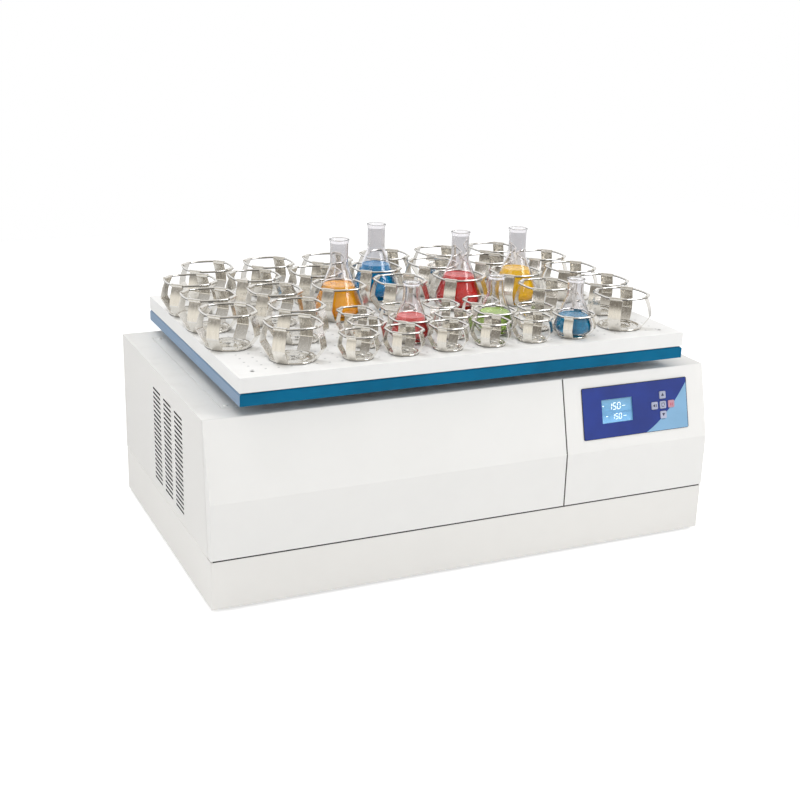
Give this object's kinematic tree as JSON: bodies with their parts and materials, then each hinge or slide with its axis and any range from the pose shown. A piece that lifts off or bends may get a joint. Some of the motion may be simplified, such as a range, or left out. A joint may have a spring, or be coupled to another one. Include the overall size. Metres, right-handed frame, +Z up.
{
  "type": "laboratory shaker",
  "caption": "Bench-top orbital platform shaker: sheet-metal housing with sloped control panel, orbiting tray with spring clamps and conical flasks.",
  "frame": {"origin": "on the bench, in the middle of the outline seen from above", "axes": "+X to the right seen from the control panel, -Y to the front, +Z up"},
  "size_m": [1.04, 0.634, 0.5817],
  "materials": {
    "panel_white": "satin powder coat, white",
    "wall_white": "satin powder coat, warm white",
    "rail_blue": "semi-gloss blue paint",
    "panel_blue": "smooth printed front film",
    "window": "clear window",
    "lcd": "backlit display",
    "key": "satin key cap",
    "key_red": "satin key cap",
    "black_plastic": "fine texture",
    "board": "circuit board",
    "rubber": "matte",
    "stainless": "polished spring steel",
    "steel": "machined steel",
    "alloy": "turned aluminium",
    "iron": "painted cast iron",
    "glass": "clear laboratory glass"
  },
  "bodies": {
    "housing": {"base_pan": "wall_white", "levelling_feet": "rubber", "housing_shell": "wall_white", "deck_cover": "panel_white", "deck_screws": "stainless", "pin_seals": "rubber", "fascia_main": "panel_white", "fascia_control": "panel_white", "control_overlay": "panel_blue", "display_window": "window", "display_module": "lcd", "control_board": "board", "mains_inlet": "black_plastic", "switch_frame": "black_plastic", "drive_controller": "alloy", "mechanism_plate": "steel", "support_columns": "steel", "main_bearing_housing": "iron", "main_bearings": "steel", "idler_bearing_housings": "iron", "idler_bearings": "steel", "motor_body": "iron", "motor_bracket": "steel", "drive_belt": "rubber"},
    "drive": {"drive_shaft": "steel", "drive_pulley": "alloy", "counterweight": "iron"},
    "motor_rotor": {"motor_shaft": "steel", "motor_pulley": "alloy"},
    "tray": {"carrier_frame": "alloy", "tray_bearings": "steel", "edge_rails": "rail_blue", "tray_plate": "panel_white", "large_clamps_front": "stainless", "large_clamps_middle": "stainless", "large_clamps_rear": "stainless", "large_clamps_back": "stainless", "small_clamps_front": "stainless", "small_clamps_middle": "stainless", "small_clamps_rear": "stainless", "clamp_rings": "stainless", "clamp_screws": "stainless"},
    "rocker": {"power_rocker": "black_plastic"},
    "idler_front_left": {"idler_crank_front_left": "steel"},
    "idler_rear_left": {"idler_crank_rear_left": "steel"},
    "idler_front_right": {"idler_crank_front_right": "steel"},
    "idler_rear_right": {"idler_crank_rear_right": "steel"},
    "key_up": {"key_up": "key"},
    "key_down": {"key_down": "key"},
    "key_left": {"key_left": "key"},
    "key_right": {"key_right": "key_red"},
    "key_centre": {"key_centre": "key"},
    "flask_orange": {"flask_orange": "glass"},
    "flask_blue": {"flask_blue": "glass"},
    "flask_red": {"flask_red": "glass"},
    "flask_yellow": {"flask_yellow": "glass"},
    "flask_small_red": {"flask_small_red": "glass"},
    "flask_small_green": {"flask_small_green": "glass"},
    "flask_small_blue": {"flask_small_blue": "glass"}
  },
  "joints": [
    {"name": "drive_spin", "type": "hinge", "parent": "housing", "child": "drive", "pos_m": [0, -0.001, 0.25], "axis": [0, 0, 1], "continuous": true},
    {"name": "tray_pivot", "type": "hinge", "parent": "drive", "child": "tray", "pos_m": [0, 0.012, 0.38], "axis": [0, 0, 1], "continuous": true},
    {"name": "motor_spin", "type": "hinge", "parent": "housing", "child": "motor_rotor", "pos_m": [0.23, -0.001, 0.18], "axis": [0, 0, 1], "continuous": true},
    {"name": "idler_spin_front_left", "type": "hinge", "parent": "housing", "child": "idler_front_left", "pos_m": [-0.3, -0.171, 0.25], "axis": [0, 0, 1], "continuous": true},
    {"name": "idler_spin_rear_left", "type": "hinge", "parent": "housing", "child": "idler_rear_left", "pos_m": [-0.3, 0.169, 0.25], "axis": [0, 0, 1], "continuous": true},
    {"name": "idler_spin_front_right", "type": "hinge", "parent": "housing", "child": "idler_front_right", "pos_m": [0.3, -0.171, 0.25], "axis": [0, 0, 1], "continuous": true},
    {"name": "idler_spin_rear_right", "type": "hinge", "parent": "housing", "child": "idler_rear_right", "pos_m": [0.3, 0.169, 0.25], "axis": [0, 0, 1], "continuous": true},
    {"name": "key_up_press", "type": "slide", "parent": "housing", "child": "key_up", "axis": [0, 0.9681, -0.2505], "range_m": [0, 0.001], "stiffness_N_per_m": 400},
    {"name": "key_down_press", "type": "slide", "parent": "housing", "child": "key_down", "axis": [0, 0.9681, -0.2505], "range_m": [0, 0.001], "stiffness_N_per_m": 400},
    {"name": "key_left_press", "type": "slide", "parent": "housing", "child": "key_left", "axis": [0, 0.9681, -0.2505], "range_m": [0, 0.001], "stiffness_N_per_m": 400},
    {"name": "key_right_press", "type": "slide", "parent": "housing", "child": "key_right", "axis": [0, 0.9681, -0.2505], "range_m": [0, 0.001], "stiffness_N_per_m": 400},
    {"name": "key_centre_press", "type": "slide", "parent": "housing", "child": "key_centre", "axis": [0, 0.9681, -0.2505], "range_m": [0, 0.001], "stiffness_N_per_m": 400},
    {"name": "power_rocker_tilt", "type": "hinge", "parent": "housing", "child": "rocker", "pos_m": [-0.322, 0.3015, 0.054], "axis": [1, 0, 0], "range_deg": [0, 18]},
    {"name": "flask_orange_lift", "type": "slide", "parent": "tray", "child": "flask_orange", "axis": [0, 0, 1], "range_m": [0, 0.12]},
    {"name": "flask_blue_lift", "type": "slide", "parent": "tray", "child": "flask_blue", "axis": [0, 0, 1], "range_m": [0, 0.12]},
    {"name": "flask_red_lift", "type": "slide", "parent": "tray", "child": "flask_red", "axis": [0, 0, 1], "range_m": [0, 0.12]},
    {"name": "flask_yellow_lift", "type": "slide", "parent": "tray", "child": "flask_yellow", "axis": [0, 0, 1], "range_m": [0, 0.12]},
    {"name": "flask_small_red_lift", "type": "slide", "parent": "tray", "child": "flask_small_red", "axis": [0, 0, 1], "range_m": [0, 0.12]},
    {"name": "flask_small_green_lift", "type": "slide", "parent": "tray", "child": "flask_small_green", "axis": [0, 0, 1], "range_m": [0, 0.12]},
    {"name": "flask_small_blue_lift", "type": "slide", "parent": "tray", "child": "flask_small_blue", "axis": [0, 0, 1], "range_m": [0, 0.12]}
  ],
  "couplings": [
    {"joint": "tray_pivot", "follows": "drive_spin", "ratio": -1},
    {"joint": "motor_spin", "follows": "drive_spin", "ratio": 3},
    {"joint": "idler_spin_front_left", "follows": "drive_spin", "ratio": 1},
    {"joint": "idler_spin_rear_left", "follows": "drive_spin", "ratio": 1},
    {"joint": "idler_spin_front_right", "follows": "drive_spin", "ratio": 1},
    {"joint": "idler_spin_rear_right", "follows": "drive_spin", "ratio": 1}
  ]
}
